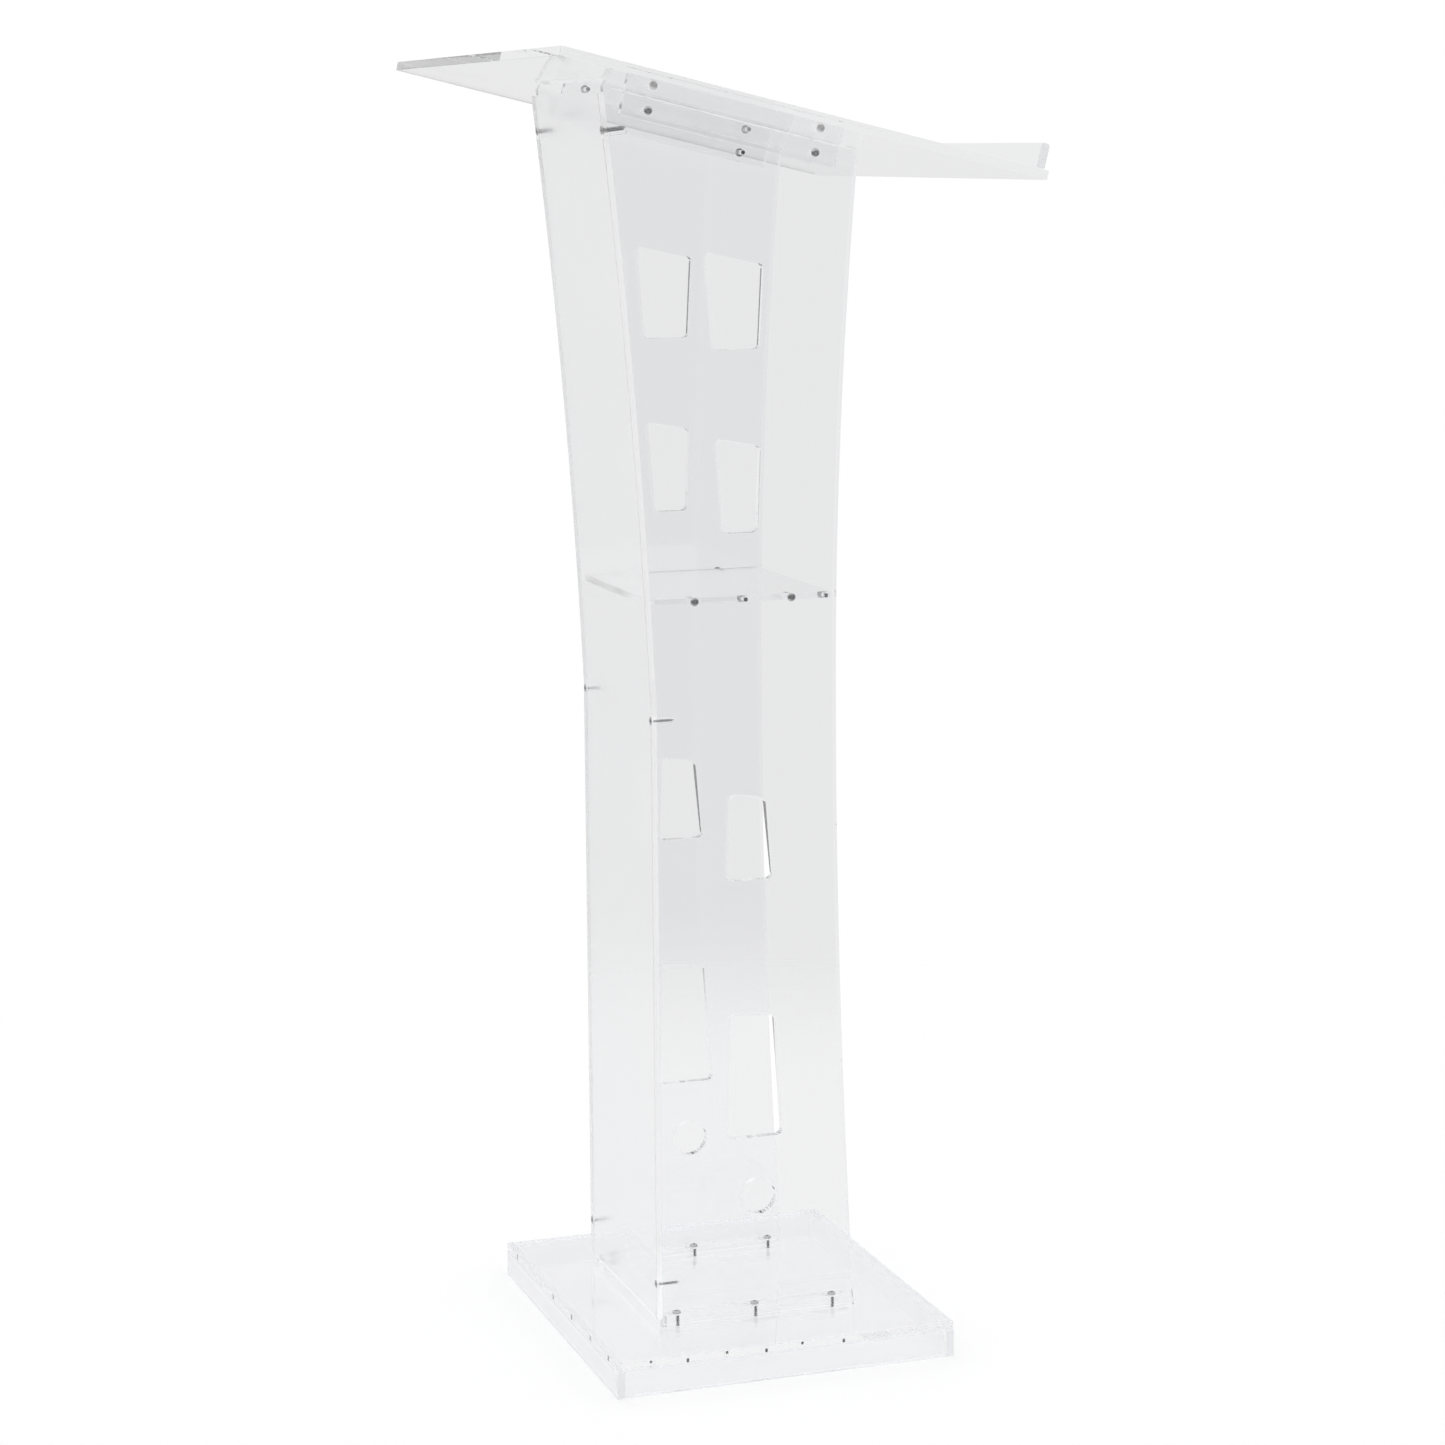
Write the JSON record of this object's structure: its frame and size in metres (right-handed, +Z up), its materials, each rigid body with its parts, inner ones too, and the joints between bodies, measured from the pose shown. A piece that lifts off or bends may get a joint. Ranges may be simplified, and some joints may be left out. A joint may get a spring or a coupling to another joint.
{
  "type": "presentation lectern",
  "caption": "Clear acrylic lectern with a skirted base, a waisted hollow column with cut-outs, a shelf, and a sloping reading board with a book ledge.",
  "frame": {"origin": "on the floor, under the middle of the reading board's width and depth, which is the middle of the object's plan; the middle of the base lies 11 mm behind it", "axes": "+Z up; -Y towards the audience, the high edge of the board; +Y towards the speaker, the book ledge; +X towards the speaker's left"},
  "size_m": [0.564, 0.4374, 1.2],
  "materials": {
    "clear_acrylic": "polished clear acrylic sheet with polished edges",
    "screw_steel": "bright stainless steel"
  },
  "bodies": {
    "root": {"reading_board": "clear_acrylic", "book_ledge": "clear_acrylic", "desk_cleat_left": "clear_acrylic", "desk_cleat_right": "clear_acrylic", "side_panel_left": "clear_acrylic", "side_panel_right": "clear_acrylic", "front_panel": "clear_acrylic", "shelf": "clear_acrylic", "base_cleat_left": "clear_acrylic", "base_cleat_right": "clear_acrylic", "base_plate": "clear_acrylic", "base_skirt_front": "clear_acrylic", "base_skirt_rear": "clear_acrylic", "base_skirt_left": "clear_acrylic", "base_skirt_right": "clear_acrylic", "desk_screws_left": "screw_steel", "desk_screws_right": "screw_steel", "shelf_screws_left": "screw_steel", "shelf_screws_right": "screw_steel", "front_screws_left": "screw_steel", "front_screws_right": "screw_steel", "base_screws_left": "screw_steel", "base_screws_right": "screw_steel"}
  },
  "joints": []
}
